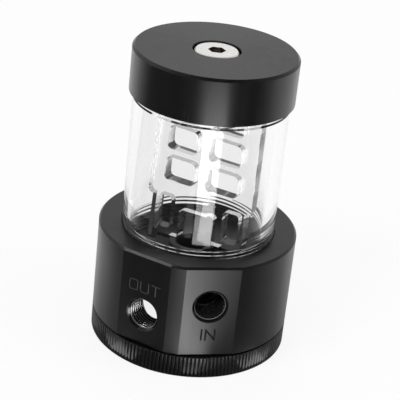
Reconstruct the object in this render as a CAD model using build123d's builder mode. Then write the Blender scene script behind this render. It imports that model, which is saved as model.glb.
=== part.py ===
from build123d import *
import math
import os

os.makedirs("parts", exist_ok=True)

# Coolant reservoir with a pump top, in millimetres, +Z up.
# The origin is the centre of the face that it stands on, and the inlet port faces -Y.
# Every screwed pair is modelled at the thread's major diameter, with a running clearance.

# Shared values
thread_clearance = 0.08
slip_gap = 0.3
seal_fit = 0.05
seal_sides = 8
groove_side_gap = 0.15

# Reservoir tube: clear acrylic, screwed at both ends
tube_radius = 30.0
tube_wall = 5.0
tube_length = 73.2
tube_end_chamfer = 0.4
tube_seal_section = 0.7
tube_seal_height = 1.4

# The outside of the pump top and of the ring under it
shoulder_width = 9.0
base_radius = tube_radius + shoulder_width
tube_bore_radius = tube_radius - tube_wall

# Retention ring: knurled outside, with a screwed spigot that clamps the pump's flange
ring_height = 9.0
ring_bottom_chamfer = 0.5
ring_top_chamfer = 0.3
knurl_count = 160
knurl_depth = 0.45
knurl_crest_share = 0.4
skirt_wall = 4.5
spigot_height = 4.5
spigot_wall = 2.3
spigot_chamfer = 0.5
flange_ledge_width = 1.9
flange_ledge_height = 9.5
spigot_thread_radius = base_radius - skirt_wall
pump_flange_radius = spigot_thread_radius - spigot_wall
pump_body_radius = pump_flange_radius - flange_ledge_width

# Pump top: the body with both ports, the chamber floor and the volute
body_height = 37.7
body_gap = 0.6
body_top_chamfer = 0.8
body_bottom_chamfer = 0.3
port_flat_depth = 1.45
port_flat_distance = base_radius - port_flat_depth
pump_seat_depth = 4.2
pump_seal_inset = 2.7
pump_seal_section = 0.75
pump_seal_groove_width = 2.2
pump_seal_groove_depth = 1.1
pump_seal_radius = pump_flange_radius - pump_seal_inset
volute_wall = 0.8
volute_growth = 6.0
volute_depth = 11.2
volute_tongue_angle = 16.0
volute_end_radius = pump_seal_radius - pump_seal_groove_width / 2 - volute_wall
volute_start_radius = volute_end_radius - volute_growth
inlet_radius = 7.8
inlet_lip_width = 2.5
inlet_lip_height = 1.0
inlet_lip_bevel = 0.3
inlet_lip_radius = inlet_radius + inlet_lip_width
chamber_depth = 5.4
socket_depth = 8.0
socket_chamfer = 0.3

# Ports: G1/4 threads, whose major diameter is 13.16 mm
port_thread_radius = 6.58
port_mouth_chamfer = 0.34
inlet_port_angle = 0.0
inlet_port_drop = 16.55
inlet_port_web = 5.35
inlet_pilot_radius = 3.9
feed_hole_radius = 4.2
feed_hole_inset = 5.5
feed_hole_distance = tube_bore_radius - feed_hole_inset
inlet_port_height = body_height - inlet_port_drop
inlet_port_depth = port_flat_distance - feed_hole_distance - inlet_port_web
outlet_port_angle = -40.0
outlet_port_height = 12.6
outlet_port_reach = 2.05
outlet_port_depth = port_flat_distance - volute_end_radius + outlet_port_reach

# Baffle plate: clear acrylic, stands across the chamber, parallel to the outlet flat
baffle_thickness = 5.0
baffle_side_gap = 2.8
baffle_shoulder = 2.5
baffle_leg_height = 17.1
baffle_corner = 2.0
baffle_width = 2 * (tube_bore_radius - baffle_side_gap)
baffle_leg_width = baffle_width - 2 * baffle_shoulder
arch_share = 0.38
arch_width = baffle_leg_width * arch_share
arch_height = 12.8
arch_corner = 1.5
outer_post = 1.9
inner_post = 3.7
window_width = (baffle_leg_width - arch_width) / 2 - outer_post - inner_post
window_spacing = baffle_leg_width - 2 * outer_post - window_width
window_height = 12.8
window_sill = 3.8
window_corner = 1.5
vent_height = 9.0
vent_margin = 6.2
vent_bridge = 5.0
vent_corner = 2.0
vent_rows = 3
vent_end_margin = 5.9
vent_width = (baffle_width - vent_bridge) / 2 - vent_margin
vent_column_pitch = vent_width + vent_bridge

# Top cap: screwed over the tube's upper end
cap_wall = 1.6
cap_radius = tube_radius + cap_wall
cap_chamfer = 1.0
cap_rim_chamfer = 0.3
cap_roof = 7.2
cap_skirt = 10.8
cap_boss_depth = 8.0
cap_boss_wall = 4.7
cap_ceiling_rise = 1.0
cap_seal_section = 0.75
cap_seal_drop = 4.0
fill_boss_wall = 3.34
fill_boss_depth = 6.5
plug_recess_radius = 9.2
plug_recess_depth = 3.25
plug_recess_chamfer = 0.2

# Fill plug
plug_head_gap = 0.8
plug_head_radius = plug_recess_radius - plug_head_gap
plug_head_height = 3.0
plug_head_chamfer = 0.5
plug_shank_length = 9.0
plug_shank_chamfer = 0.8
hex_across_flats = 6.0
hex_depth = 4.4
hex_turn = -12.3
plug_seal_section = 0.6
plug_seal_gap = 0.1

# Levels, worked out from the sizes above
body_bottom = ring_height + body_gap
body_top = body_bottom + body_height
spigot_top = ring_height + spigot_height
pump_seat = body_bottom + pump_seat_depth
volute_roof = pump_seat + volute_depth
chamber_floor = body_top - chamber_depth
socket_floor = body_top - socket_depth
lip_top = chamber_floor + inlet_lip_height
tube_top = socket_floor + tube_length
cap_bottom = tube_top - cap_skirt
cap_top = tube_top + cap_roof
cap_boss_bottom = tube_top - cap_boss_depth
cap_ceiling = tube_top + cap_ceiling_rise
plug_seat = cap_top - plug_recess_depth

# Fits, worked out from the sizes above
body_thread_radius = spigot_thread_radius + thread_clearance
port_bore_radius = port_thread_radius + thread_clearance
port_mouth_radius = port_bore_radius + port_mouth_chamfer
fill_boss_radius = port_bore_radius + fill_boss_wall
socket_radius = tube_radius + thread_clearance
island_radius = tube_bore_radius - slip_gap
cap_thread_radius = tube_radius + thread_clearance
cap_boss_radius = tube_bore_radius - slip_gap

# The O-rings' sections are polygons with flats against the walls that squeeze them
seal_turn = 180 / seal_sides


def side_direction(angle):
    """The outward direction at an angle from -Y, positive towards +X."""
    return Vector(math.sin(math.radians(angle)), -math.cos(math.radians(angle)), 0)


def flat_plane(angle, height):
    """The plane of a port flat, with its normal outwards and +Z up, centred at a height."""
    outward = side_direction(angle)
    sideways = Vector(-outward.Y, outward.X, 0)
    centre = outward * port_flat_distance + Vector(0, 0, height)
    return Plane(origin=centre, x_dir=sideways, z_dir=outward)


def knurl_outline():
    """The points of the ring's edge: a flat crest and a V groove for each knurl."""
    step = 2 * math.pi / knurl_count
    crest = step * knurl_crest_share
    points = []
    for i in range(knurl_count):
        centre = i * step
        for angle, radius in (
            (centre - crest / 2, base_radius),
            (centre + crest / 2, base_radius),
            (centre + step / 2, base_radius - knurl_depth),
        ):
            points.append((radius * math.cos(angle), radius * math.sin(angle)))
    return points


# The knurled ring, whose ledge carries the pump's flange
with BuildPart() as retention_ring:
    with BuildSketch(Plane.XY):
        with BuildLine():
            Polyline(*knurl_outline(), close=True)
        make_face()
    extrude(amount=spigot_top)
    with BuildSketch(Plane.XZ):
        with BuildLine():
            Polyline(
                (pump_body_radius, 0),
                (base_radius - ring_bottom_chamfer, 0),
                (base_radius, ring_bottom_chamfer),
                (base_radius, ring_height - ring_top_chamfer),
                (base_radius - ring_top_chamfer, ring_height),
                (spigot_thread_radius, ring_height),
                (spigot_thread_radius, spigot_top - spigot_chamfer),
                (spigot_thread_radius - spigot_chamfer, spigot_top),
                (pump_flange_radius, spigot_top),
                (pump_flange_radius, flange_ledge_height),
                (pump_body_radius, flange_ledge_height),
                close=True,
            )
        make_face()
    revolve(axis=Axis.Z, mode=Mode.INTERSECT)
retention_ring.part.label = "retention_ring"
export_step(retention_ring.part, "parts/retention_ring.step")

# The turned form of the pump top, with the tube's socket above and the pump's seat below
groove_inner = pump_seal_radius - pump_seal_groove_width / 2
groove_outer = pump_seal_radius + pump_seal_groove_width / 2
groove_roof = pump_seat + pump_seal_groove_depth
inlet_plane = flat_plane(inlet_port_angle, body_bottom + inlet_port_height)
outlet_plane = flat_plane(outlet_port_angle, body_bottom + outlet_port_height)
with BuildPart() as pump_top:
    with BuildSketch(Plane.XZ):
        with BuildLine():
            Polyline(
                (inlet_radius, pump_seat),
                (inlet_radius, lip_top),
                (inlet_lip_radius - inlet_lip_bevel, lip_top),
                (inlet_lip_radius, lip_top - inlet_lip_bevel),
                (inlet_lip_radius, chamber_floor),
                (island_radius, chamber_floor),
                (island_radius, socket_floor),
                (socket_radius, socket_floor),
                (socket_radius, body_top - socket_chamfer),
                (socket_radius + socket_chamfer, body_top),
                (base_radius, body_top),
                (base_radius, body_bottom),
                (body_thread_radius, body_bottom),
                (body_thread_radius, pump_seat),
                (groove_outer, pump_seat),
                (groove_outer, groove_roof),
                (groove_inner, groove_roof),
                (groove_inner, pump_seat),
                close=True,
            )
        make_face()
    revolve(axis=Axis.Z)

    # The two flats, and the chamfers that run round the cylinder and along them
    for flat in (inlet_plane, outlet_plane):
        with BuildSketch(flat):
            Rectangle(2 * base_radius, 2 * body_top)
        extrude(amount=base_radius, mode=Mode.SUBTRACT)
    top_face = pump_top.faces().filter_by(Axis.Z).sort_by(Axis.Z)[-1]
    chamfer(top_face.outer_wire().edges(), length=body_top_chamfer)
    bottom_face = pump_top.faces().filter_by(Axis.Z).sort_by(Axis.Z)[0]
    chamfer(bottom_face.outer_wire().edges(), length=body_bottom_chamfer)

    # The volute: four quarter arcs that grow towards the outlet, and a tongue
    scroll_step = (volute_end_radius - volute_start_radius) / 4
    scroll_radius = volute_start_radius + scroll_step / 2
    scroll_centre = Vector(-scroll_step / 2, scroll_step / 2)
    scroll_start = scroll_centre + Vector(scroll_radius, 0)
    tongue_direction = side_direction(outlet_port_angle + volute_tongue_angle)
    scroll_plane = Plane(origin=(0, 0, pump_seat), x_dir=tongue_direction, z_dir=(0, 0, 1))
    with BuildSketch(scroll_plane):
        with BuildLine():
            for quarter in range(4):
                arc = CenterArc(scroll_centre, scroll_radius, 90 * quarter, 90)
                turn = math.radians(90 * (quarter + 1))
                step_back = Vector(math.cos(turn), math.sin(turn)) * scroll_step
                scroll_centre = scroll_centre - step_back
                scroll_radius = scroll_radius + scroll_step
            Line(arc @ 1, scroll_start)
        make_face()
    extrude(amount=volute_depth, mode=Mode.SUBTRACT)

    # The ports: the outlet runs into the volute, the inlet up through the chamber's floor
    with Locations(outlet_plane):
        CounterSinkHole(port_bore_radius, port_mouth_radius, outlet_port_depth, 90)
    with Locations(inlet_plane):
        CounterSinkHole(port_bore_radius, port_mouth_radius, inlet_port_depth, 90)
        Hole(inlet_pilot_radius, port_flat_distance - feed_hole_distance)
    feed_direction = side_direction(inlet_port_angle)
    feed_mouth = feed_direction * feed_hole_distance + Vector(0, 0, chamber_floor)
    feed_depth = chamber_floor - body_bottom - inlet_port_height + feed_hole_radius
    with Locations(Plane(origin=feed_mouth, z_dir=(0, 0, 1))):
        Hole(feed_hole_radius, feed_depth)
pump_top.part.label = "pump_top"
export_step(pump_top.part, "parts/pump_top.step")

# The O-ring that the pump's flange presses on
with BuildPart() as pump_seal:
    with BuildSketch(Plane.XZ):
        with Locations((pump_seal_radius, groove_roof - seal_fit - pump_seal_section)):
            RegularPolygon(pump_seal_section, seal_sides, False, seal_turn)
    revolve(axis=Axis.Z)
pump_seal.part.label = "pump_seal"
export_step(pump_seal.part, "parts/pump_seal.step")

# The clear tube, with a groove for its O-ring under the lower thread
tube_seal_centre = socket_radius - seal_fit - tube_seal_section
tube_groove_radius = tube_seal_centre - tube_seal_section - seal_fit
tube_seal_level = socket_floor + tube_seal_height
tube_groove_half = tube_seal_section + groove_side_gap
with BuildPart() as reservoir_tube:
    with BuildSketch(Plane.XZ):
        with BuildLine():
            Polyline(
                (tube_bore_radius, socket_floor),
                (tube_radius - tube_end_chamfer, socket_floor),
                (tube_radius, socket_floor + tube_end_chamfer),
                (tube_radius, tube_seal_level - tube_groove_half),
                (tube_groove_radius, tube_seal_level - tube_groove_half),
                (tube_groove_radius, tube_seal_level + tube_groove_half),
                (tube_radius, tube_seal_level + tube_groove_half),
                (tube_radius, tube_top - tube_end_chamfer),
                (tube_radius - tube_end_chamfer, tube_top),
                (tube_bore_radius, tube_top),
                close=True,
            )
        make_face()
    revolve(axis=Axis.Z)
reservoir_tube.part.label = "reservoir_tube"
export_step(reservoir_tube.part, "parts/reservoir_tube.step")

with BuildPart() as tube_seal:
    with BuildSketch(Plane.XZ):
        with Locations((tube_seal_centre, tube_seal_level)):
            RegularPolygon(tube_seal_section, seal_sides, False, seal_turn)
    revolve(axis=Axis.Z)
tube_seal.part.label = "tube_seal"
export_step(tube_seal.part, "parts/tube_seal.step")

# The baffle plate: two legs that straddle the inlet's lip, and a vented panel above
outlet_direction = side_direction(outlet_port_angle)
baffle_plane = Plane(
    origin=(0, 0, chamber_floor),
    x_dir=(-outlet_direction.Y, outlet_direction.X, 0),
    z_dir=outlet_direction,
)
baffle_height = cap_boss_bottom - slip_gap - chamber_floor
lip_relief_height = inlet_lip_height + slip_gap
lip_relief_width = 2 * (inlet_lip_radius + 2 * slip_gap)
panel_height = baffle_height - baffle_leg_height
vent_row_pitch = (panel_height - vent_height - 2 * vent_end_margin) / (vent_rows - 1)
with BuildPart() as baffle_plate:
    with BuildSketch(baffle_plane):
        with Locations((0, baffle_leg_height + panel_height / 2)):
            RectangleRounded(baffle_width, panel_height, baffle_corner)
        with Locations((0, baffle_height / 2)):
            Rectangle(baffle_leg_width, baffle_height)
        with Locations((0, 0)):
            Rectangle(lip_relief_width, 2 * lip_relief_height, mode=Mode.SUBTRACT)
            RectangleRounded(arch_width, 2 * arch_height, arch_corner, mode=Mode.SUBTRACT)
        with Locations((0, window_sill + window_height / 2)):
            with GridLocations(window_spacing, 0, 2, 1):
                RectangleRounded(window_width, window_height, window_corner, mode=Mode.SUBTRACT)
        with Locations((0, baffle_leg_height + panel_height / 2)):
            with GridLocations(vent_column_pitch, vent_row_pitch, 2, vent_rows):
                RectangleRounded(vent_width, vent_height, vent_corner, mode=Mode.SUBTRACT)
    extrude(amount=baffle_thickness / 2, both=True)
baffle_plate.part.label = "baffle_plate"
export_step(baffle_plate.part, "parts/baffle_plate.step")

# The cap: a skirt over the tube, a boss with an O-ring inside it, and the fill port
cap_seal_level = tube_top - cap_seal_drop
cap_seal_centre = tube_bore_radius - seal_fit - cap_seal_section
cap_groove_radius = cap_seal_centre - cap_seal_section - seal_fit
cap_groove_half = cap_seal_section + groove_side_gap
boss_bore_radius = cap_boss_radius - cap_boss_wall
fill_boss_bottom = cap_ceiling - fill_boss_depth
with BuildPart() as top_cap:
    with BuildSketch(Plane.XZ):
        with BuildLine():
            Polyline(
                (port_bore_radius, fill_boss_bottom),
                (port_bore_radius, plug_seat),
                (plug_recess_radius, plug_seat),
                (plug_recess_radius, cap_top - plug_recess_chamfer),
                (plug_recess_radius + plug_recess_chamfer, cap_top),
                (cap_radius - cap_chamfer, cap_top),
                (cap_radius, cap_top - cap_chamfer),
                (cap_radius, cap_bottom + cap_rim_chamfer),
                (cap_radius - cap_rim_chamfer, cap_bottom),
                (cap_thread_radius, cap_bottom),
                (cap_thread_radius, tube_top),
                (cap_boss_radius, tube_top),
                (cap_boss_radius, cap_seal_level + cap_groove_half),
                (cap_groove_radius, cap_seal_level + cap_groove_half),
                (cap_groove_radius, cap_seal_level - cap_groove_half),
                (cap_boss_radius, cap_seal_level - cap_groove_half),
                (cap_boss_radius, cap_boss_bottom),
                (boss_bore_radius, cap_boss_bottom),
                (boss_bore_radius, cap_ceiling),
                (fill_boss_radius, cap_ceiling),
                (fill_boss_radius, fill_boss_bottom),
                close=True,
            )
        make_face()
    revolve(axis=Axis.Z)
top_cap.part.label = "top_cap"
export_step(top_cap.part, "parts/top_cap.step")

with BuildPart() as cap_seal:
    with BuildSketch(Plane.XZ):
        with Locations((cap_seal_centre, cap_seal_level)):
            RegularPolygon(cap_seal_section, seal_sides, False, seal_turn)
    revolve(axis=Axis.Z)
cap_seal.part.label = "cap_seal"
export_step(cap_seal.part, "parts/cap_seal.step")

# The fill plug: a round head with a hexagon socket, and an O-ring under the head
plug_top = plug_seat + plug_head_height
plug_seal_centre = port_thread_radius + seal_fit + plug_seal_section
plug_groove_radius = plug_seal_centre + plug_seal_section + plug_seal_gap
plug_groove_roof = plug_seat + 2 * plug_seal_section + plug_seal_gap
plug_shank_bottom = plug_seat - plug_shank_length
with BuildPart() as fill_plug:
    with BuildSketch(Plane.XZ):
        with BuildLine():
            Polyline(
                (0, plug_shank_bottom),
                (port_thread_radius - plug_shank_chamfer, plug_shank_bottom),
                (port_thread_radius, plug_shank_bottom + plug_shank_chamfer),
                (port_thread_radius, plug_groove_roof),
                (plug_groove_radius, plug_groove_roof),
                (plug_groove_radius, plug_seat),
                (plug_head_radius, plug_seat),
                (plug_head_radius, plug_top - plug_head_chamfer),
                (plug_head_radius - plug_head_chamfer, plug_top),
                (0, plug_top),
                close=True,
            )
        make_face()
    revolve(axis=Axis.Z)
    with BuildSketch(Plane.XY.offset(plug_top)):
        RegularPolygon(hex_across_flats / 2, 6, major_radius=False, rotation=hex_turn)
    extrude(amount=-hex_depth, mode=Mode.SUBTRACT)
fill_plug.part.label = "fill_plug"
export_step(fill_plug.part, "parts/fill_plug.step")

with BuildPart() as plug_seal:
    with BuildSketch(Plane.XZ):
        with Locations((plug_seal_centre, plug_seat + seal_fit + plug_seal_section)):
            RegularPolygon(plug_seal_section, seal_sides, False, seal_turn)
    revolve(axis=Axis.Z)
plug_seal.part.label = "plug_seal"
export_step(plug_seal.part, "parts/plug_seal.step")
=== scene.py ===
import math

import bmesh
import bpy
from mathutils import Matrix, Vector


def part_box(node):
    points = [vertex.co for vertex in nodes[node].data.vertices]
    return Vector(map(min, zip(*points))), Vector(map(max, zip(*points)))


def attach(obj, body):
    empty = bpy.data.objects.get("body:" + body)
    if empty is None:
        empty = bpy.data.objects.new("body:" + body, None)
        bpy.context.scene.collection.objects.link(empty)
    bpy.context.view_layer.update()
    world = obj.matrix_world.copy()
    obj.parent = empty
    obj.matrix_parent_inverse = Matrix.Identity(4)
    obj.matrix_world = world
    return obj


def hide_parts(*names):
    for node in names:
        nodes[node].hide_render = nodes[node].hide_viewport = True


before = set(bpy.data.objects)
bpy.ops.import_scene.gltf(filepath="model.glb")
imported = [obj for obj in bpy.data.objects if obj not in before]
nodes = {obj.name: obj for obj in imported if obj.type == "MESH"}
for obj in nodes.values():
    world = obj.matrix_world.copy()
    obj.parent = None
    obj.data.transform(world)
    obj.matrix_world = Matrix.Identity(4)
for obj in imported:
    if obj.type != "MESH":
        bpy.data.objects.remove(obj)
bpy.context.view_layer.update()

MM = 0.001
scene = bpy.context.scene


# Node helpers

NOISE_LOW, NOISE_HIGH = 0.3, 0.7        # the span of a noise that is spread over a look's range


def fresh_tree(owner):
    """Gives a material or a world an empty node tree."""
    owner.use_nodes = True
    owner.node_tree.nodes.clear()
    return owner.node_tree


def new_material(name):
    mat = bpy.data.materials.new(name)
    tree = fresh_tree(mat)
    out = tree.nodes.new("ShaderNodeOutputMaterial")
    shader = tree.nodes.new("ShaderNodeBsdfPrincipled")
    tree.links.new(shader.outputs[0], out.inputs[0])
    return mat, tree, shader


def find_node(tree, kind):
    return next(n for n in tree.nodes if n.type == kind)


def noise(tree, scale, detail=2.0, stretch=(1, 1, 1)):
    """Noise over the object's own coordinates, which stretch scales per axis."""
    coords = tree.nodes.new("ShaderNodeTexCoord")
    mapping = tree.nodes.new("ShaderNodeMapping")
    mapping.inputs["Scale"].default_value = stretch
    tree.links.new(coords.outputs["Object"], mapping.inputs["Vector"])
    made = tree.nodes.new("ShaderNodeTexNoise")
    made.inputs["Scale"].default_value = scale
    made.inputs["Detail"].default_value = detail
    tree.links.new(mapping.outputs["Vector"], made.inputs["Vector"])
    return made.outputs["Fac"]


def ramp(tree, value, low, high):
    made = tree.nodes.new("ShaderNodeValToRGB")
    for stop, position, colour in zip(made.color_ramp.elements, (NOISE_LOW, NOISE_HIGH), (low, high)):
        stop.position = position
        stop.color = (*colour, 1)
    tree.links.new(value, made.inputs["Fac"])
    return made.outputs["Color"]


def map_range(tree, value, low, high, start=NOISE_LOW, end=NOISE_HIGH):
    made = tree.nodes.new("ShaderNodeMapRange")
    made.inputs["From Min"].default_value = start
    made.inputs["From Max"].default_value = end
    made.inputs["To Min"].default_value = low
    made.inputs["To Max"].default_value = high
    tree.links.new(value, made.inputs["Value"])
    return made.outputs["Result"]


def math_node(tree, operation, first, second):
    made = tree.nodes.new("ShaderNodeMath")
    made.operation = operation
    for socket, value in zip(made.inputs, (first, second)):
        if isinstance(value, float):
            socket.default_value = value
        else:
            tree.links.new(value, socket)
    return made.outputs[0]


def times(tree, first, second):
    return math_node(tree, "MULTIPLY", first, second)


def plus(tree, first, second):
    return math_node(tree, "ADD", first, second)


def mix_shaders(tree, share, first, second, out):
    """Sends first and second to the output, with share as the part that second takes."""
    mix = tree.nodes.new("ShaderNodeMixShader")
    tree.links.new(share, mix.inputs["Fac"])
    tree.links.new(first.outputs[0], mix.inputs[1])
    tree.links.new(second.outputs[0], mix.inputs[2])
    tree.links.new(mix.outputs[0], out.inputs["Surface"])


def vary(tree, shader, pattern, low, high, smooth, rough):
    """Lets a pattern take the colour from low to high and the roughness from smooth to rough."""
    tree.links.new(ramp(tree, pattern, low, high), shader.inputs["Base Color"])
    tree.links.new(map_range(tree, pattern, smooth, rough), shader.inputs["Roughness"])


def bump(tree, shader, value, distance, strength):
    made = tree.nodes.new("ShaderNodeBump")
    made.inputs["Strength"].default_value = strength
    made.inputs["Distance"].default_value = distance
    tree.links.new(value, made.inputs["Height"])
    tree.links.new(made.outputs["Normal"], shader.inputs["Normal"])


# Materials

ANODISED_LOW, ANODISED_HIGH = (0.0034, 0.0034, 0.0036), (0.0058, 0.0058, 0.006)
ANODISED_IOR, ACRYLIC_IOR = 1.5, 1.49
ACRYLIC_DEPTH = (0.62, 0.64, 0.65, 1)
PLATE_NORMAL = (-0.6428, -0.7660, 0)    # out of the plate's face
CUT_FACES = (0.35, 0.45)                # how far a face turns to PLATE_NORMAL: cut faces end here
PLATE_FACES = (0.9, 0.97)               # and the plate's own faces begin here
FROST_ON_CUTS, FROST_ON_EDGES = 0.28, 0.8


def black_anodised(name, rough, streak, turned_face=0.0):
    """Satin black anodised metal with a fine blasted grain and faint streaks."""
    mat, tree, shader = new_material(name)
    grain = noise(tree, scale=2600, detail=3.0)
    cloud = noise(tree, scale=260, detail=3.0, stretch=streak)
    vary(tree, shader, cloud, ANODISED_LOW, ANODISED_HIGH, rough - 0.035, rough + 0.035)
    shader.inputs["IOR"].default_value = ANODISED_IOR
    if turned_face > 0:
        tangent = tree.nodes.new("ShaderNodeTangent")
        tangent.direction_type = "RADIAL"
        tangent.axis = "Z"
        shader.inputs["Anisotropic"].default_value = turned_face
        tree.links.new(tangent.outputs[0], shader.inputs["Tangent"])
    bump(tree, shader, grain, distance=0.012 * MM, strength=0.35)
    return mat


def clear_acrylic(name, rough, density):
    """Clear acrylic whose thicker paths look slightly greyer."""
    mat, tree, shader = new_material(name)
    depth = tree.nodes.new("ShaderNodeVolumeAbsorption")
    depth.inputs["Color"].default_value = ACRYLIC_DEPTH
    depth.inputs["Density"].default_value = density
    tree.links.new(depth.outputs[0], find_node(tree, "OUTPUT_MATERIAL").inputs["Volume"])
    haze = noise(tree, scale=90)
    tree.links.new(map_range(tree, haze, rough * 0.4, rough), shader.inputs["Roughness"])
    shader.inputs["Base Color"].default_value = (1, 1, 1, 1)
    shader.inputs["IOR"].default_value = ACRYLIC_IOR
    shader.inputs["Transmission Weight"].default_value = 1.0
    return mat


def frost_cut_edges(mat):
    """The plate's faces stay polished, the faces cut through it frost a little, and its broken edges more."""
    tree = mat.node_tree
    polished = find_node(tree, "BSDF_PRINCIPLED")
    out = find_node(tree, "OUTPUT_MATERIAL")
    coords = tree.nodes.new("ShaderNodeTexCoord")
    along = tree.nodes.new("ShaderNodeVectorMath")
    along.operation = "DOT_PRODUCT"
    along.inputs[1].default_value = PLATE_NORMAL
    tree.links.new(coords.outputs["Normal"], along.inputs[0])
    facing = math_node(tree, "ABSOLUTE", along.outputs["Value"], 0.0)
    frosted = tree.nodes.new("ShaderNodeBsdfPrincipled")
    scratches = noise(tree, scale=700, stretch=(1, 1, 4))
    vary(tree, frosted, scratches, (0.93, 0.94, 0.94), (0.98, 0.99, 0.99), smooth=0.10, rough=0.22)
    frosted.inputs["IOR"].default_value = ACRYLIC_IOR
    frosted.inputs["Transmission Weight"].default_value = 0.7
    on_cut = map_range(tree, facing, FROST_ON_CUTS, 0.0, *CUT_FACES)
    past_cut = map_range(tree, facing, 0.0, FROST_ON_EDGES, *CUT_FACES)
    before_face = map_range(tree, facing, 1.0, 0.0, *PLATE_FACES)
    share = plus(tree, on_cut, times(tree, past_cut, before_face))
    mix_shaders(tree, share, polished, frosted, out)


def port_metal(name, low, high, rough):
    """Dark metal for the ports' threads and cones. Its copies carry painted light: lighter crests as a
    painted highlight, the outlet's lighter than the inlet's, and near-black roots as painted shade.
    """
    mat, tree, shader = new_material(name)
    vary(tree, shader, noise(tree, scale=700), low, high, rough, rough + 0.04)
    shader.inputs["Metallic"].default_value = 1.0
    return mat


def painted_highlight_grey(name):
    """A matt grey for the ports' lips: a painted highlight where the lip's edge catches the light."""
    mat, tree, shader = new_material(name)
    wear = noise(tree, scale=900)
    vary(tree, shader, wear, (0.16, 0.16, 0.16), (0.26, 0.26, 0.26), smooth=0.4, rough=0.5)
    return mat


def black_rubber(name):
    mat, tree, shader = new_material(name)
    fine = noise(tree, scale=1800)
    vary(tree, shader, fine, (0.012, 0.012, 0.012), (0.02, 0.02, 0.02), smooth=0.5, rough=0.62)
    bump(tree, shader, fine, distance=0.02 * MM, strength=0.3)
    return mat


def plated(name, low, high, metallic):
    """Satin plate with the faint marks of turning."""
    mat, tree, shader = new_material(name)
    turned = noise(tree, scale=900, detail=3.0)
    vary(tree, shader, turned, low, high, smooth=0.2, rough=0.3)
    shader.inputs["Metallic"].default_value = metallic
    bump(tree, shader, turned, distance=0.006 * MM, strength=0.3)
    return mat


def marking(name, low, high, gloss):
    """The surface of an engraved letter."""
    mat, tree, shader = new_material(name)
    speck = noise(tree, scale=5000)
    vary(tree, shader, speck, (low, low, low), (high, high, high), smooth=0.4, rough=0.5)
    shader.inputs["Specular IOR Level"].default_value = gloss
    bump(tree, shader, speck, distance=0.01 * MM, strength=0.4)
    return mat


cap_black = black_anodised("cap_black_anodised", rough=0.25, streak=(1, 1, 0.05), turned_face=0.45)
body_black = black_anodised("body_black_anodised", rough=0.34, streak=(1, 1, 0.06))
ring_black = black_anodised("ring_black_anodised", rough=0.30, streak=(1, 1, 0.3))
# Painted highlight on the thread crests, in two copies of one metal: the outlet's is lighter than the
# inlet's, for the light that falls on each port.
outlet_crest_lit = port_metal("outlet_thread_crest_painted_lit", (0.27, 0.27, 0.274), (0.34, 0.34, 0.345), rough=0.26)
inlet_crest_shaded = port_metal("inlet_thread_crest_painted_shade", (0.16, 0.16, 0.162), (0.22, 0.22, 0.222), rough=0.24)
port_cone = port_metal("port_cone", (0.06, 0.06, 0.062), (0.08, 0.08, 0.082), rough=0.16)
# Painted shade: the threads' roots are nearly black, for the shade that falls in them.
root_shade = port_metal("thread_root_painted_shade", (0.012, 0.012, 0.0122), (0.02, 0.02, 0.0202), rough=0.16)
# Painted highlight: a matt grey band on each port's lip, for the light that its edge catches.
lip_highlight = painted_highlight_grey("port_lip_painted_highlight")
tube_clear = clear_acrylic("tube_clear_acrylic", rough=0.006, density=5.5)
plate_clear = clear_acrylic("plate_clear_acrylic", rough=0.01, density=0.5)
frost_cut_edges(plate_clear)
rubber = black_rubber("black_rubber")
nickel = plated("satin_nickel", (0.88, 0.87, 0.85), (0.94, 0.93, 0.91), metallic=0.6)
# Painted shade: the plug's hex socket takes a darker nickel, for the shade inside it.
socket_nickel_shaded = plated("socket_nickel_shaded", (0.50, 0.48, 0.45), (0.62, 0.60, 0.57), metallic=1.0)
# One engraving in two copies: a lighter one on the outlet's letters as painted light, a darker one on the
# inlet's as painted shade.
outlet_marking_lit = marking("outlet_marking_lit", 0.035, 0.06, gloss=0.5)
inlet_marking_shaded = marking("inlet_marking_shaded", 0.002, 0.004, gloss=0.1)

for name, mat in (
    ("retention_ring", ring_black),
    ("pump_top", body_black),
    ("top_cap", cap_black),
    ("baffle_plate", plate_clear),
    ("pump_seal", rubber),
    ("tube_seal", rubber),
    ("cap_seal", rubber),
    ("plug_seal", rubber),
):
    nodes[name].data.materials.clear()
    nodes[name].data.materials.append(mat)

# The plate's sharp edges are broken, as those of a real cut plate are.
edge_break = nodes["baffle_plate"].modifiers.new("edge_break", "BEVEL")
edge_break.width = 0.4 * MM
edge_break.segments = 1
edge_break.limit_method = "ANGLE"
edge_break.angle_limit = math.radians(40)


# Mesh helpers

MERGE_WITHIN, DEGENERATE_BELOW = 2e-7, 1e-7
THREAD_SAMPLES = 10                     # rows of faces per pitch
THREAD_FLAT = 0.12                      # the share of a flank that the crest and the root each take flat


def mesh_object(name, bm, mat):
    mesh = bpy.data.meshes.new(name)
    bm.to_mesh(mesh)
    bm.free()
    mesh.materials.append(mat)
    made = bpy.data.objects.new(name, mesh)
    scene.collection.objects.link(made)
    return made


def turned_object(name, bm, mat, smooth_angle=28.0):
    """Joins the parts of a turned mesh and shades it smooth up to an angle."""
    bmesh.ops.remove_doubles(bm, verts=bm.verts, dist=MERGE_WITHIN)
    bmesh.ops.dissolve_degenerate(bm, edges=bm.edges, dist=DEGENERATE_BELOW)
    bmesh.ops.recalc_face_normals(bm, faces=bm.faces)
    made = mesh_object(name, bm, mat)
    made.data.polygons.foreach_set("use_smooth", [True] * len(made.data.polygons))
    made.data.set_sharp_from_angle(angle=math.radians(smooth_angle))
    return made


def around(bm, radius_at, height, turns):
    """A ring of vertices about Z, with its radius given by the angle."""
    angles = [2 * math.pi * i / turns for i in range(turns)]
    return [bm.verts.new((radius_at(a) * math.cos(a), radius_at(a) * math.sin(a), height)) for a in angles]


def skin(bm, first, second):
    count = len(first)
    for i in range(count):
        j = (i + 1) % count
        bm.faces.new((first[i], first[j], second[j], second[i]))


def revolve(bm, outline, turns):
    """Turns an open outline of (radius, height) about Z, and returns its rings."""
    rings = [around(bm, lambda angle, r=r: r, z, turns) for r, z in outline]
    for first, second in zip(rings, rings[1:]):
        skin(bm, first, second)
    return rings


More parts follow.
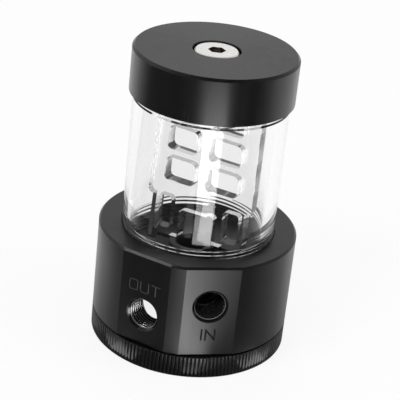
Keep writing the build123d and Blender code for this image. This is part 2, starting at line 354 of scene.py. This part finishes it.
def thread_band(bm, base, root_shift, low, high, pitch, turns, fade_low, fade_high, shift=0.0):
    """A helical V thread on a cylinder of radius base, from low to high.
    root_shift is how far the root stands from base, negative inwards. The cut fades over fade_low and
    fade_high, and shift turns the helix by a share of a turn."""
    step = pitch / THREAD_SAMPLES
    first = int(math.floor((low - pitch) / step)) - 1
    last = int(math.ceil(high / step)) + 1

    def depth(height):
        phase = (height / pitch + shift) % 1.0
        wave = 1.0 - abs(2.0 * phase - 1.0)
        return min(max((wave - THREAD_FLAT) / (1.0 - 2.0 * THREAD_FLAT), 0.0), 1.0)

    def place(index, column):
        height = index * step + pitch * column / turns
        clamped = min(max(height, low), high)
        envelope = max(min(1.0, (clamped - low) / fade_low, (high - clamped) / fade_high), 0.0)
        radius = base + root_shift * depth(index * step) * envelope
        angle = 2 * math.pi * column / turns
        return (radius * math.cos(angle), radius * math.sin(angle), clamped)

    columns = [[bm.verts.new(place(k, c)) for k in range(first, last + 1)] for c in range(turns + 1)]
    for c in range(turns):
        for k in range(last - first):
            corners = (columns[c][k], columns[c + 1][k], columns[c + 1][k + 1], columns[c][k + 1])
            heights = [v.co.z for v in corners]
            if max(heights) - min(heights) > 1e-9:
                bm.faces.new(corners)


# The clear tube

def threaded_tube():
    """The tube with a real thread at each end, its O-ring's groove and a relief groove under the cap."""
    turns, pitch, root_shift = 240, 1.5 * MM, -0.55 * MM
    low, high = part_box("reservoir_tube")
    z0, z1, outer = low[2], high[2], high[0]
    bore, edge = 25.0 * MM, 0.4 * MM
    seal_groove, seal_low, seal_high = 28.58 * MM, z0 + 0.55 * MM, z0 + 2.25 * MM
    foot_low, foot_high = z0 + 2.6 * MM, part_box("pump_top")[1][2] + 3.3 * MM
    cap_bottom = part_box("top_cap")[0][2]
    relief, relief_depth = [cap_bottom - drop * MM for drop in (2.2, 1.6, 1.3)], 0.6 * MM
    head_low, head_high = cap_bottom + 0.1 * MM, z1 - edge

    bm = bmesh.new()
    revolve(bm, [(bore, z0), (outer - edge, z0), (outer, z0 + edge), (outer, seal_low),
                 (seal_groove, seal_low), (seal_groove, seal_high), (outer, seal_high),
                 (outer, foot_low)], turns)
    thread_band(bm, outer, root_shift, foot_low, foot_high, pitch, turns,
                fade_low=0.4 * MM, fade_high=0.9 * MM, shift=0.27)
    revolve(bm, [(outer, foot_high), (outer, relief[0]), (outer - relief_depth, relief[1]),
                 (outer, relief[2]), (outer, head_low)], turns)
    thread_band(bm, outer, root_shift, head_low, head_high, pitch, turns,
                fade_low=0.4 * MM, fade_high=0.4 * MM)
    revolve(bm, [(outer, head_high), (outer - edge, z1), (bore, z1), (bore, z0)], turns)
    tube = turned_object("clear_tube", bm, tube_clear)
    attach(tube, "reservoir_tube")
    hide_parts("reservoir_tube")


threaded_tube()


# The fill plug, with the thread that the cap's port takes

PORT_PITCH = 1.337 * MM


def threaded_plug():
    turns, apothem, turn = 120, 3.0 * MM, math.radians(-12.3)
    low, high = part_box("fill_plug")
    bottom, top, head = low[2], high[2], high[0]
    shank, root_shift, groove = 6.58 * MM, -0.68 * MM, 7.93 * MM
    seat, roof, rim, socket_depth = top - 2.98 * MM, top - 1.7 * MM, 0.5 * MM, 4.4 * MM
    thread_low, thread_high = bottom + 0.8 * MM, seat - 0.3 * MM

    def hexagon(angle):
        return apothem / math.cos(angle % (math.pi / 3) - math.pi / 6)

    bm = bmesh.new()
    foot = revolve(bm, [(shank - 0.8 * MM, bottom), (shank, thread_low)], turns)
    bm.faces.new(foot[0][::-1])
    thread_band(bm, shank, root_shift, thread_low, thread_high, PORT_PITCH, turns,
                fade_low=0.3 * MM, fade_high=0.5 * MM)
    rings = revolve(bm, [(shank, thread_high), (shank, roof), (groove, roof), (groove, seat), (head, seat),
                         (head, top - rim), (head - rim, top)], turns)
    mouth, bed = (around(bm, hexagon, height, turns) for height in (top, top - socket_depth))
    skin(bm, rings[-1], mouth)
    skin(bm, mouth, bed)
    bm.faces.new(bed)
    plug = turned_object("threaded_plug", bm, nickel)
    # The hex socket's faces take the darker nickel: painted shade.
    plug.data.materials.append(socket_nickel_shaded)
    for face in plug.data.polygons:
        below_top = top - face.center.z
        if 0.01 * MM < below_top < socket_depth + 0.1 * MM and face.center.xy.length < apothem + 0.5 * MM:
            face.material_index = 1
    plug.data.transform(Matrix.Rotation(turn, 4, "Z"))
    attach(plug, "fill_plug")
    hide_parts("fill_plug")


threaded_plug()


# The two flats: where they lie, and how a piece is placed on one

IN_ANGLE, IN_HEIGHT = 0.0, 30.75 * MM
OUT_ANGLE, OUT_HEIGHT = -40.0, 22.2 * MM
FLAT = 37.55 * MM


def flat_matrix(angle, height, distance):
    """Local Z out of the flat, local Y up, origin on the flat."""
    normal = Vector((math.sin(math.radians(angle)), -math.cos(math.radians(angle)), 0))
    side = Vector((-normal.y, normal.x, 0))
    up = Vector((0, 0, 1))
    rotation = Matrix((side, up, normal)).transposed().to_4x4()
    return Matrix.Translation(normal * distance + up * height) @ rotation


# The ports' threads: a sleeve in each bore, whose inside carries the thread

def port_sleeve(name, angle, height, depth, mat):
    turns, wall, crest, root_shift = 120, 6.63 * MM, 5.85 * MM, 0.7 * MM
    front, back = -0.37 * MM, -depth
    lip = front - (wall - crest)
    # The width of the cone's band next to the thread, which takes the painted highlight, and how far past the
    # crest the roots' painted shade begins.
    highlight_band, shade_past = 0.14 * MM, 0.33 * MM
    bm = bmesh.new()
    revolve(bm, [(crest, back), (wall, back), (wall, front), (crest + highlight_band, lip + highlight_band), (crest, lip)], turns)
    thread_band(bm, crest, root_shift, back, lip, PORT_PITCH, turns, fade_low=0.2 * MM, fade_high=0.15 * MM)
    sleeve = turned_object(name, bm, mat, smooth_angle=30.0)
    for extra in (lip_highlight, root_shade, port_cone):
        sleeve.data.materials.append(extra)
    highlight_slot, root_slot, cone_slot = 1, 2, 3
    for face in sleeve.data.polygons:
        reach = math.hypot(face.center.x, face.center.y)
        # The cone's band next to the thread is painted grey as a highlight; the rest of the cone keeps its
        # dark metal.
        if face.center.z > lip:
            face.material_index = highlight_slot if reach < crest + highlight_band else cone_slot
        # Faces deep in the roots take the near-black painted shade.
        elif reach > crest + shade_past:
            face.material_index = root_slot
    sleeve.data.transform(flat_matrix(angle, height, FLAT))
    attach(sleeve, "pump_top")


# Each port's crests take their own copy of the thread metal; the outlet's lighter copy is painted light.
port_sleeve("inlet_thread", IN_ANGLE, IN_HEIGHT, depth=12.2 * MM, mat=inlet_crest_shaded)
port_sleeve("outlet_thread", OUT_ANGLE, OUT_HEIGHT, depth=9.7 * MM, mat=outlet_crest_lit)


# The engraved words beside the ports, in plain strokes

LETTER_WIDTH, LETTER_HEIGHT, LETTER_RISE, ABOVE_FLAT = 3.5 * MM, 4.2 * MM, 0.1 * MM, 0.005 * MM
GROOVE_FLOOR = 0.08                     # the groove's height as a share of the stroke's rise
NARROW_I = 0.25
LETTERS = {
    "I": [[(0.5, 0), (0.5, 1)]],
    "N": [[(0, 0), (0, 1), (1, 0), (1, 1)]],
    "O": [[(0.12, 0), (0.88, 0), (1, 0.12), (1, 0.88), (0.88, 1), (0.12, 1), (0, 0.88), (0, 0.12),
           (0.12, 0)]],
    "U": [[(0, 1), (0, 0.12), (0.12, 0), (0.88, 0), (1, 0.12), (1, 1)]],
    "T": [[(0, 1), (1, 1)], [(0.5, 1), (0.5, 0)]],
}


def stroke(bm, start, end, line):
    """One straight stroke: a thin bar with a V groove along its top."""
    along = (end - start).normalized() * (line / 2)
    across = Vector((-along.y, along.x, 0))
    rise = Vector((0, 0, LETTER_RISE))
    a, b = start - along, end + along
    corners = (a - across, b - across, b + across, a + across)
    low = [bm.verts.new(p) for p in corners]
    high = [bm.verts.new(p + rise) for p in corners]
    groove = [bm.verts.new(p + rise * GROOVE_FLOOR) for p in (a, b)]
    for face in (
        (high[0], high[1], groove[1], groove[0]),
        (groove[0], groove[1], high[2], high[3]),
        (low[0], low[1], high[1], high[0]),
        (low[2], low[3], high[3], high[2]),
        (low[1], low[2], high[2], groove[1], high[1]),
        (low[3], low[0], high[0], groove[0], high[3]),
        low[::-1],
    ):
        bm.faces.new(face)


def stroke_word(name, word, angle, height, gap, line, mat):
    widths = [LETTER_WIDTH * (NARROW_I if c == "I" else 1.0) for c in word]
    x = -(sum(widths) + gap * (len(word) - 1)) / 2
    bm = bmesh.new()
    for char, width in zip(word, widths):
        for path in LETTERS[char]:
            points = [Vector((x + p * width, (q - 0.5) * LETTER_HEIGHT, 0)) for p, q in path]
            for start, end in zip(points, points[1:]):
                stroke(bm, start, end, line)
        x += width + gap
    made = mesh_object(name, bm, mat)
    made.data.transform(flat_matrix(angle, height, FLAT + ABOVE_FLAT))
    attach(made, "pump_top")


# The outlet's letters take the lighter engraving, painted light; the inlet's the darker, painted shade.
stroke_word("outlet_word", "OUT", OUT_ANGLE, height=33.95 * MM, gap=1.35 * MM, line=0.32 * MM,
            mat=outlet_marking_lit)
stroke_word("inlet_word", "IN", IN_ANGLE, height=18.55 * MM, gap=1.2 * MM, line=0.68 * MM,
            mat=inlet_marking_shaded)


# Stage: a pale floor, a white surround, soft lights, and cards that only reflections show.
# Seen directly or through the clear parts, floor and surround are white. Mirrored, they are
# dark in front and bright behind, which keeps the black parts black and lights their rims.

WHITE = (1, 1, 1, 1)
FLOOR_RADIUS = 3.0
FLOOR_WHITE = 0.86                      # the share of the seen floor that is plain white, and takes no shadow
FLOOR_FRONT, FLOOR_REAR, FLOOR_RISE = 0.10, 1.0, (-0.05, 0.10)
SKY_FRONT, SKY_REAR, SKY_RISE = 0.08, 0.68, (-0.3, 0.4)
REARWARD_X, REARWARD_Y = 0.423, 0.906   # the direction in which the mirrored floor brightens
SKY_LIGHT = 0.45
LIGHTS_AIM = Vector((0, 0, 0.06))


def how_seen(tree):
    """Two shares: rays that come straight or refracted from the camera, and rays mirrored on the way."""
    path = tree.nodes.new("ShaderNodeLightPath")
    not_diffuse = math_node(tree, "SUBTRACT", 1.0, path.outputs["Is Diffuse Ray"])
    mirrored = times(tree, math_node(tree, "MINIMUM", path.outputs["Glossy Depth"], 1.0), not_diffuse)
    not_mirrored = math_node(tree, "SUBTRACT", 1.0, mirrored)
    refracted = times(tree, path.outputs["Is Transmission Ray"], not_mirrored)
    return plus(tree, path.outputs["Is Camera Ray"], refracted), mirrored


def position(tree, kind):
    coords = tree.nodes.new("ShaderNodeTexCoord")
    split = tree.nodes.new("ShaderNodeSeparateXYZ")
    tree.links.new(coords.outputs[kind], split.inputs[0])
    return split.outputs


def stage_material(name):
    """A material that counts as no lamp."""
    mat = bpy.data.materials.new(name)
    mat.cycles.emission_sampling = "NONE"
    tree = fresh_tree(mat)
    return mat, tree, tree.nodes.new("ShaderNodeOutputMaterial")


def floor_material():
    mat, tree, out = stage_material("pale_floor")
    diffuse = tree.nodes.new("ShaderNodeBsdfDiffuse")
    speck = ramp(tree, noise(tree, scale=40), (0.86, 0.86, 0.86), (0.88, 0.88, 0.88))
    tree.links.new(speck, diffuse.inputs["Color"])
    glow = tree.nodes.new("ShaderNodeEmission")
    glow.inputs["Color"].default_value = WHITE
    seen, mirrored = how_seen(tree)
    place = position(tree, "Object")
    rearward = plus(tree, times(tree, place["Y"], REARWARD_Y), times(tree, place["X"], REARWARD_X))
    front_to_rear = map_range(tree, rearward, FLOOR_FRONT, FLOOR_REAR, *FLOOR_RISE)
    tree.links.new(plus(tree, seen, times(tree, mirrored, front_to_rear)), glow.inputs["Strength"])
    mix_shaders(tree, plus(tree, times(tree, seen, FLOOR_WHITE), mirrored), diffuse, glow, out)
    return mat


def surround():
    world = bpy.data.worlds.new("white_surround")
    world.cycles.sampling_method = "NONE"
    tree = fresh_tree(world)
    out = tree.nodes.new("ShaderNodeOutputWorld")
    lit_sky = tree.nodes.new("ShaderNodeBackground")
    lit_sky.inputs["Color"].default_value = WHITE
    lit_sky.inputs["Strength"].default_value = SKY_LIGHT
    seen_sky = tree.nodes.new("ShaderNodeBackground")
    seen_sky.inputs["Color"].default_value = WHITE
    seen, mirrored = how_seen(tree)
    front_to_rear = map_range(tree, position(tree, "Generated")["Y"], SKY_FRONT, SKY_REAR, *SKY_RISE)
    tree.links.new(plus(tree, seen, times(tree, mirrored, front_to_rear)), seen_sky.inputs["Strength"])
    mix_shaders(tree, plus(tree, seen, mirrored), lit_sky, seen_sky, out)
    return world


bpy.ops.mesh.primitive_circle_add(vertices=96, radius=FLOOR_RADIUS, fill_type="NGON")
floor = bpy.context.object
floor.name = "floor"
floor.data.materials.append(floor_material())
scene.world = surround()


def area_light(name, place, size_x, size_y, power):
    """A softbox that faces the object and shows in no reflection."""
    data = bpy.data.lights.new(name, "AREA")
    data.shape = "RECTANGLE"
    data.size = size_x
    data.size_y = size_y
    data.energy = power
    made = bpy.data.objects.new(name, data)
    made.location = place
    made.rotation_euler = (LIGHTS_AIM - Vector(place)).to_track_quat("-Z", "Y").to_euler()
    made.visible_glossy = False
    made.visible_transmission = False
    scene.collection.objects.link(made)


area_light("key_softbox", (-0.45, -0.35, 0.62), 0.4, 0.4, power=3.2)
area_light("fill_softbox", (0.55, -0.25, 0.45), 0.4, 0.5, power=1.8)
area_light("back_softbox", (0.1, 0.6, 0.5), 0.6, 0.3, power=1.5)


# Camera: fitted to the photograph, then scaled to the object's real size

YAW, TILT = math.radians(-12.4), math.radians(25.663)
ROLL, PAN = math.radians(6.224), math.radians(-0.028)
FIT_TO_SIZE = 0.952
DISTANCE, HEIGHT = 530.59 * FIT_TO_SIZE * MM, 314.86 * FIT_TO_SIZE * MM
SENSOR, FOCAL_IN_WIDTHS = 36.0, 1433.25 / 400

forward = Vector((math.sin(PAN) * math.cos(TILT), math.cos(PAN) * math.cos(TILT), -math.sin(TILT)))
level = Vector((math.cos(PAN), -math.sin(PAN), 0))
upright = level.cross(forward)
right = math.cos(ROLL) * level + math.sin(ROLL) * upright
up = -math.sin(ROLL) * level + math.cos(ROLL) * upright
pose = Matrix((right, up, -forward)).transposed().to_4x4()
pose.translation = Vector((0, -DISTANCE, HEIGHT))
cam_data = bpy.data.cameras.new("camera")
cam_data.sensor_fit = "HORIZONTAL"
cam_data.sensor_width = SENSOR
cam_data.lens = FOCAL_IN_WIDTHS * SENSOR
cam_data.clip_start = 0.01
camera = bpy.data.objects.new("camera", cam_data)
camera.matrix_world = Matrix.Rotation(YAW, 4, "Z") @ pose
scene.collection.objects.link(camera)
scene.camera = camera


# Cards

ON_FLOOR, OVER_CAP = 0.0015, 0.15
RING_CARD_INNER, RING_CARD_OUTER, RING_CARD_STEPS = 0.0395, 0.0455, 8


def reflector(name, outline, angle, near, far, height=ON_FLOOR):
    """A flat bounce card, parallel to the floor, that only shows in reflections.
    The outline is (sideways, distance) seen from the object's axis at an angle from the camera's
    side. near and far are each (distance, strength), and the strength runs from one to the other."""
    mat, tree, out = stage_material(name)
    seen, mirrored = how_seen(tree)
    clear = tree.nodes.new("ShaderNodeBsdfTransparent")
    glow = tree.nodes.new("ShaderNodeEmission")
    reach = position(tree, "Object")["Y"]
    strength = map_range(tree, reach, far[1], near[1], -far[0], -near[0])
    tree.links.new(strength, glow.inputs["Strength"])
    mix_shaders(tree, mirrored, clear, glow, out)
    mesh = bpy.data.meshes.new(name)
    mesh.from_pydata([(x, -y, height) for x, y in outline], [], [list(range(len(outline)))])
    mesh.materials.append(mat)
    card = bpy.data.objects.new(name, mesh)
    scene.collection.objects.link(card)
    card.rotation_euler = (0, 0, YAW + math.radians(angle))
    card.visible_shadow = False
    card.visible_diffuse = False
    card.visible_camera = False


# The light strip down the middle of the cap and the tube
reflector("strip_card", [(-0.012, 0.125), (0.046, 0.125), (0.103, 0.26), (0.112, 0.335), (-0.078, 0.335),
                         (-0.068, 0.285), (-0.026, 0.26)], angle=0.0, near=(0.26, 6.4), far=(0.30, 1.9))
# The pale left side of the body
reflector("left_card", [(0.038, -0.05), (0.116, -0.05), (0.112, 0.015), (0.098, 0.035), (0.078, 0.068),
                        (0.038, 0.09)], angle=180.0, near=(-0.035, 0.3), far=(0.07, 1.5))
# The grey inlet flat
reflector("side_card", [(-0.026, 0.047), (-0.006, 0.047), (-0.004, 0.15), (-0.044, 0.15)],
          angle=22.0, near=(0.05, 5.8), far=(0.15, 6.6))
# The light line along the outlet flat's upper edge
reflector("edge_card", [(-0.083, 0.064), (-0.033, 0.064), (-0.033, 0.092), (-0.083, 0.092)],
          angle=-27.6, near=(0.0, 12.0), far=(0.1, 12.0), height=OVER_CAP)
# The facet between the flats
reflector("facet_card", [(-0.001, 0.052), (0.011, 0.052), (0.016, 0.14), (-0.006, 0.14)],
          angle=-15.2, near=(0.05, 1.0), far=(0.15, 1.0))
# The bright groups of knurls round the ring
for name, start, end, strength in (
    ("ring_card_left", -49, -31, 2.8),
    ("ring_card_front", 0, 10, 2.0),
    ("ring_card_right", 37, 56, 2.6),
):
    arc = [math.radians(start + (end - start) * i / RING_CARD_STEPS) for i in range(RING_CARD_STEPS + 1)]
    outline = [(RING_CARD_INNER * math.sin(a), RING_CARD_INNER * math.cos(a)) for a in arc]
    outline += [(RING_CARD_OUTER * math.sin(a), RING_CARD_OUTER * math.cos(a)) for a in reversed(arc)]
    reflector(name, outline, angle=0.0, near=(0.03, strength), far=(0.06, strength))

scene.view_settings.view_transform = "Standard"
